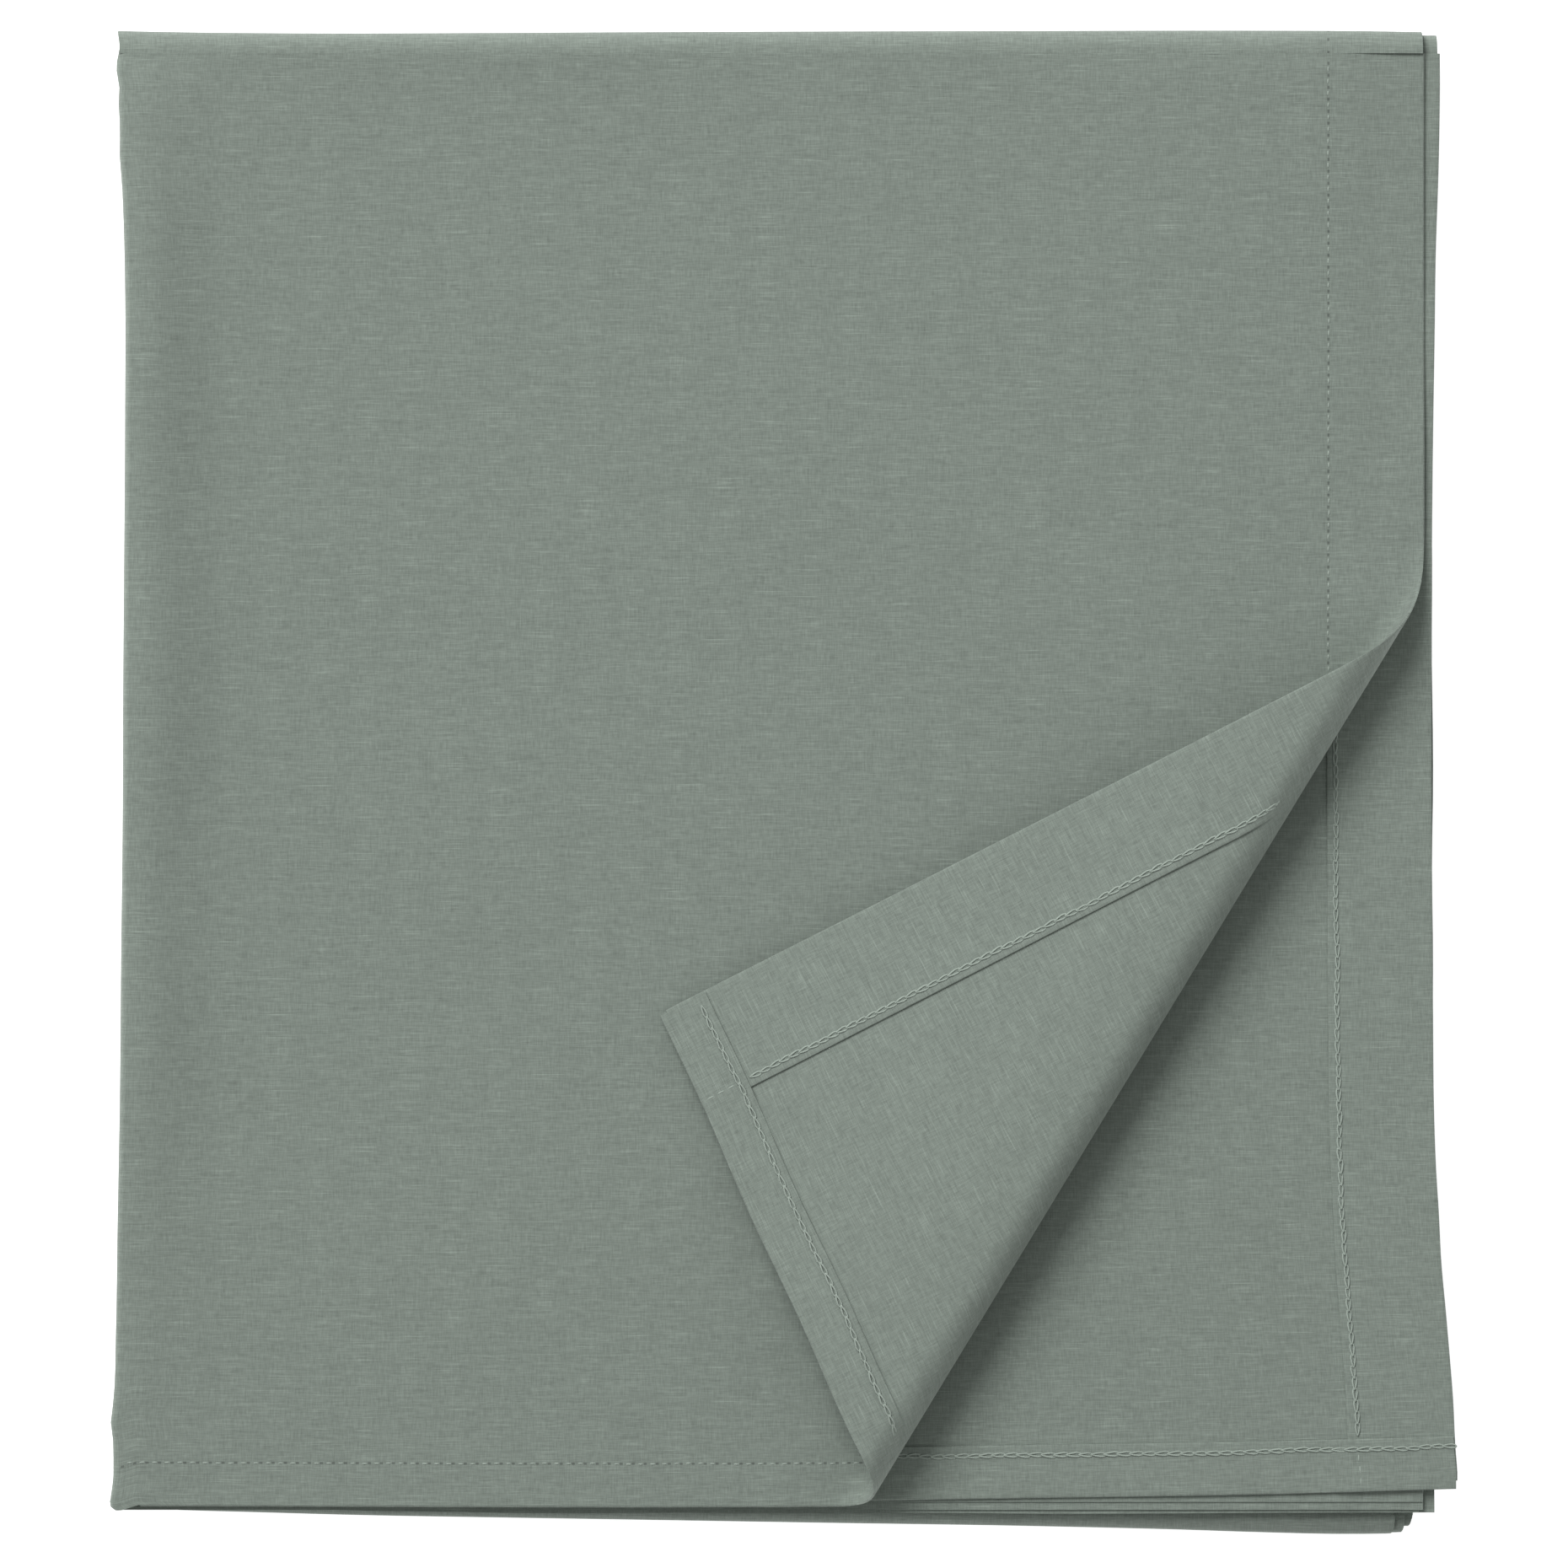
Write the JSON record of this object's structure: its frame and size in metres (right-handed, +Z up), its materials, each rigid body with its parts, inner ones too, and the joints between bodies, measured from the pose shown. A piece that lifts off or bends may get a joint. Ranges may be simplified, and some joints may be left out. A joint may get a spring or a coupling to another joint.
{
  "type": "folded tablecloth",
  "caption": "Hemmed plain-weave cotton tablecloth lying folded in a flat stack, with one corner of the top leaf turned back over a soft roll to show its hems.",
  "frame": {"origin": "centre of the bounding box at the level of the surface that the folded cloth lies on", "axes": "+Z up out of the stack, +Y along the folded cloth from the open hemmed end to the folded end, +X across it from the folded side to the hemmed side"},
  "size_m": [0.3903, 0.4386, 0.0345],
  "materials": {
    "cloth_face": "matt woven cotton, right side",
    "cloth_wrong_side": "matt woven cotton, wrong side",
    "cloth_inside": "matt woven cotton, inner layers",
    "sewing_thread": "matt spun thread"
  },
  "bodies": {
    "bottom_third": {"strip_4": "cloth_inside", "strip_3": "cloth_inside", "turn_fold": "cloth_inside"},
    "middle_third": {"strip_2": "cloth_inside", "strip_5": "cloth_inside", "bottom_fold_inner": "cloth_inside", "bottom_fold_outer": "cloth_face", "bottom_fold_seam": "sewing_thread"},
    "top_third": {"strip_6": "cloth_inside", "strip_1": "cloth_face", "top_fold_inner": "cloth_inside", "top_fold_outer": "cloth_face", "top_fold_seam": "sewing_thread", "top_leaf_side_hem": "cloth_wrong_side", "top_leaf_end_hem": "cloth_wrong_side", "top_leaf_side_seam": "sewing_thread", "top_leaf_end_seam": "sewing_thread", "top_leaf_side_chain": "sewing_thread", "top_leaf_end_chain": "sewing_thread", "second_leaf_side_hem": "cloth_wrong_side", "second_leaf_end_hem": "cloth_wrong_side", "second_leaf_side_chain": "sewing_thread", "second_leaf_end_chain": "sewing_thread"},
    "corner": {"corner_roll": "cloth_face", "corner_flap": "cloth_wrong_side", "corner_side_hem": "cloth_wrong_side", "corner_end_hem": "cloth_wrong_side", "corner_side_chain": "sewing_thread", "corner_end_chain": "sewing_thread"}
  },
  "joints": [
    {"name": "bottom_fold", "type": "hinge", "parent": "bottom_third", "child": "middle_third", "pos_m": [-0.00505, -0.21545, 0.00495], "axis": [0.9998, -0.0187, 0], "range_deg": [0, 179.5], "deforming": ["bottom_fold_inner", "bottom_fold_outer", "bottom_fold_seam"]},
    {"name": "top_fold", "type": "hinge", "parent": "middle_third", "child": "top_third", "pos_m": [-0.00505, 0.21885, 0.01005], "axis": [-1, 0, 0], "range_deg": [0, 179.5], "deforming": ["top_fold_inner", "top_fold_outer", "top_fold_seam"]},
    {"name": "corner_fold", "type": "hinge", "parent": "top_third", "child": "corner", "pos_m": [0.07508, -0.13598, 0.02742], "axis": [0.5195, 0.8545, 0], "range_deg": [0, 179.5], "deforming": ["corner_roll"]}
  ]
}
